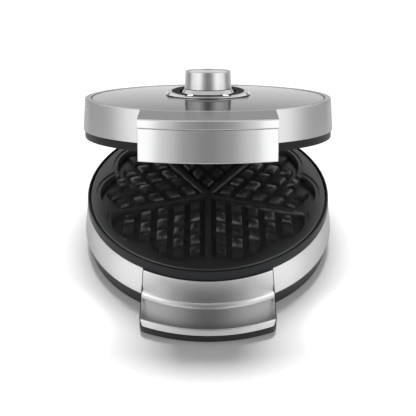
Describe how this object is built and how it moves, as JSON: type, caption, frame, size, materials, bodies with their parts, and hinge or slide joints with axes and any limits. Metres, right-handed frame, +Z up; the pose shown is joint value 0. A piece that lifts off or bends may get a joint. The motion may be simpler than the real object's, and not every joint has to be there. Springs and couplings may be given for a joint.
{
  "type": "waffle maker",
  "caption": "Round table-top waffle maker with heart-shaped plates, a hinged lid that stands ajar, front handles and a dial on the lid.",
  "frame": {"origin": "on the table, under the middle of the length from the handle's lip to the back of the open lid; the axis of the round body is 7.2 mm behind it", "axes": "+Z up; -Y to the front, where both handles are; +Y to the hinge; +X to the right seen from the front"},
  "size_m": [0.2492, 0.2947, 0.2236],
  "materials": {
    "charcoal_plastic": "fine-grained moulded plastic",
    "brushed_band": "brushed round the band",
    "rim_plastic": "satin moulded plastic",
    "nonstick_plate": "cast, with a dark non-stick coating",
    "element_sheath": "dull olive-grey sheath",
    "pan_steel": "pressed, bare",
    "handle_metal": "satin silver",
    "bright_steel": "bright",
    "foot_rubber": "matt",
    "terminal_ceramic": "unglazed",
    "polished_cover": "polished, with a fine circular grain",
    "bezel_chrome": "bright",
    "black_gloss": "glossy",
    "lamp_lens": "clear domed lens",
    "dial_chrome": "bright",
    "spun_cap": "spun on a lathe"
  },
  "bodies": {
    "base": {"base_housing": "charcoal_plastic", "base_band": "brushed_band", "base_rim": "rim_plastic", "lower_plate": "nonstick_plate", "lower_element": "element_sheath", "lower_reflector": "pan_steel", "base_handle": "handle_metal", "base_handle_underside": "charcoal_plastic", "base_hinge": "charcoal_plastic", "hinge_pin": "bright_steel", "rubber_feet": "foot_rubber", "base_screws": "bright_steel", "cord_inlet": "foot_rubber", "terminal_block": "terminal_ceramic", "thermal_fuse": "pan_steel"},
    "lid": {"lid_frame": "charcoal_plastic", "lid_band": "brushed_band", "lid_cover": "polished_cover", "lid_rim": "rim_plastic", "upper_plate": "nonstick_plate", "upper_element": "element_sheath", "upper_reflector": "pan_steel", "lid_handle_cap": "handle_metal", "lid_handle_skirt": "handle_metal", "lid_handle_liner": "charcoal_plastic", "lid_hinge": "charcoal_plastic", "lid_screws": "bright_steel", "bezel_ring": "bezel_chrome", "bezel_insert": "black_gloss", "pilot_lights": "lamp_lens", "thermostat": "terminal_ceramic"},
    "dial": {"dial_knob": "dial_chrome", "dial_cap": "spun_cap", "dial_skirt": "dial_chrome", "dial_shaft": "bright_steel"}
  },
  "joints": [
    {"name": "lid_hinge", "type": "hinge", "parent": "base", "child": "lid", "pos_m": [0, 0.1322, 0.0615], "axis": [-1, 0, 0], "range_deg": [-27.5, 72.5]},
    {"name": "dial_turn", "type": "hinge", "parent": "lid", "child": "dial", "pos_m": [0, 0.03956, 0.15426], "axis": [0, 0.4617, 0.887], "range_deg": [-135, 135]}
  ]
}
